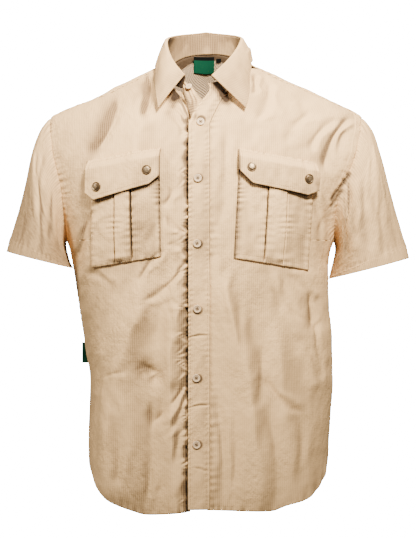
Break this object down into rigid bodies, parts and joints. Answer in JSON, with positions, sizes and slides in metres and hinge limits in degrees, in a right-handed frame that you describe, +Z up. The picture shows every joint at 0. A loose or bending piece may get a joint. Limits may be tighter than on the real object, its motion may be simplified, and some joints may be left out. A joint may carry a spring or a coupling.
{
  "type": "short-sleeve shirt",
  "caption": "Short-sleeve button-front outdoor shirt with a two-piece collar and pleated chest pockets under snapped flaps, hollow as it is worn.",
  "frame": {"origin": "middle of the neck opening at the height where the shoulders meet the collar, where the wearer's neck holds the shirt up", "axes": "+Z up, the buttoned front faces -Y, +X towards the wearer's left"},
  "size_m": [0.6848, 0.2836, 0.833],
  "materials": {
    "shirt_cloth": "light beige woven ripstop, matt",
    "mesh_lining": "beige open mesh lining, matt",
    "cream_button": "cream plastic with a soft gloss",
    "bronze_snap": "antiqued brass, brushed",
    "green_label": "green woven label, blank",
    "black_tab": "black woven tab, blank"
  },
  "bodies": {
    "root": {"front_right": "shirt_cloth", "front_left": "shirt_cloth", "placket": "shirt_cloth", "button_band": "shirt_cloth", "back": "shirt_cloth", "yoke": "shirt_cloth", "sleeve_right": "shirt_cloth", "sleeve_left": "shirt_cloth", "collar_stand": "shirt_cloth", "collar_leaf": "shirt_cloth", "pocket_right": "shirt_cloth", "pocket_left": "shirt_cloth", "flap_right": "shirt_cloth", "flap_left": "shirt_cloth", "yoke_mesh": "mesh_lining", "button_1": "cream_button", "button_2": "cream_button", "button_3": "cream_button", "button_4": "cream_button", "button_5": "cream_button", "button_6": "cream_button", "snap_1": "bronze_snap", "snap_2": "bronze_snap", "snap_3": "bronze_snap", "snap_4": "bronze_snap", "neck_label": "green_label", "size_tab": "black_tab", "side_tag": "green_label"}
  },
  "joints": []
}
